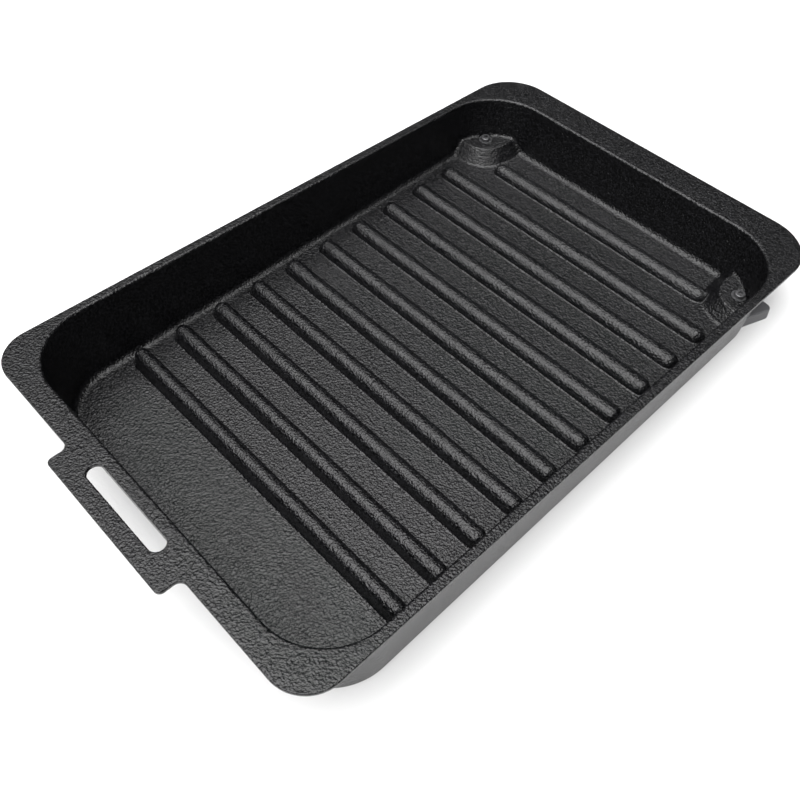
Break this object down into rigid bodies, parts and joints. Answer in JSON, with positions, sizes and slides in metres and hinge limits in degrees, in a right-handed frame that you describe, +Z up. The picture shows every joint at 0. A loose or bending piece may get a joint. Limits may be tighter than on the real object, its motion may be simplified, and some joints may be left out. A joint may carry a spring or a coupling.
{
  "type": "griddle tray",
  "caption": "Deep rectangular cast griddle tray with parallel cooking ribs, flat rim, slotted handle tab and a swivelling foot under each far corner",
  "frame": {"origin": "on the resting plane, under the middle of the overall length and width", "axes": "+X across the tray to the right seen from the handle, +Y from the handle to the far end, +Z up"},
  "size_m": [0.29, 0.4819, 0.0628],
  "materials": {
    "cast_coating": "cast aluminium under a pebbled charcoal-black non-stick coating, satin",
    "foot_coating": "cast aluminium under a fine charcoal-black coating, satin",
    "blackened_screw": "blackened steel, semi-gloss",
    "plated_steel": "plated steel",
    "washer_polymer": "heat-resistant polymer, matt"
  },
  "bodies": {
    "tray": {"tray": "cast_coating", "left_pivot_screw": "blackened_screw", "left_head_washer": "plated_steel", "left_friction_washer": "washer_polymer", "left_nut_washer": "plated_steel", "left_lock_nut": "plated_steel", "right_pivot_screw": "blackened_screw", "right_head_washer": "plated_steel", "right_friction_washer": "washer_polymer", "right_nut_washer": "plated_steel", "right_lock_nut": "plated_steel"},
    "left_foot": {"left_swivel_foot": "foot_coating"},
    "right_foot": {"right_swivel_foot": "foot_coating"}
  },
  "joints": [
    {"name": "left_foot_swivel", "type": "hinge", "parent": "tray", "child": "left_foot", "pos_m": [-0.1225, 0.1905, 0.007], "axis": [0, 0, 1], "range_deg": [-78, 6]},
    {"name": "right_foot_swivel", "type": "hinge", "parent": "tray", "child": "right_foot", "pos_m": [0.1225, 0.1905, 0.007], "axis": [0, 0, 1], "range_deg": [-6, 78]}
  ]
}
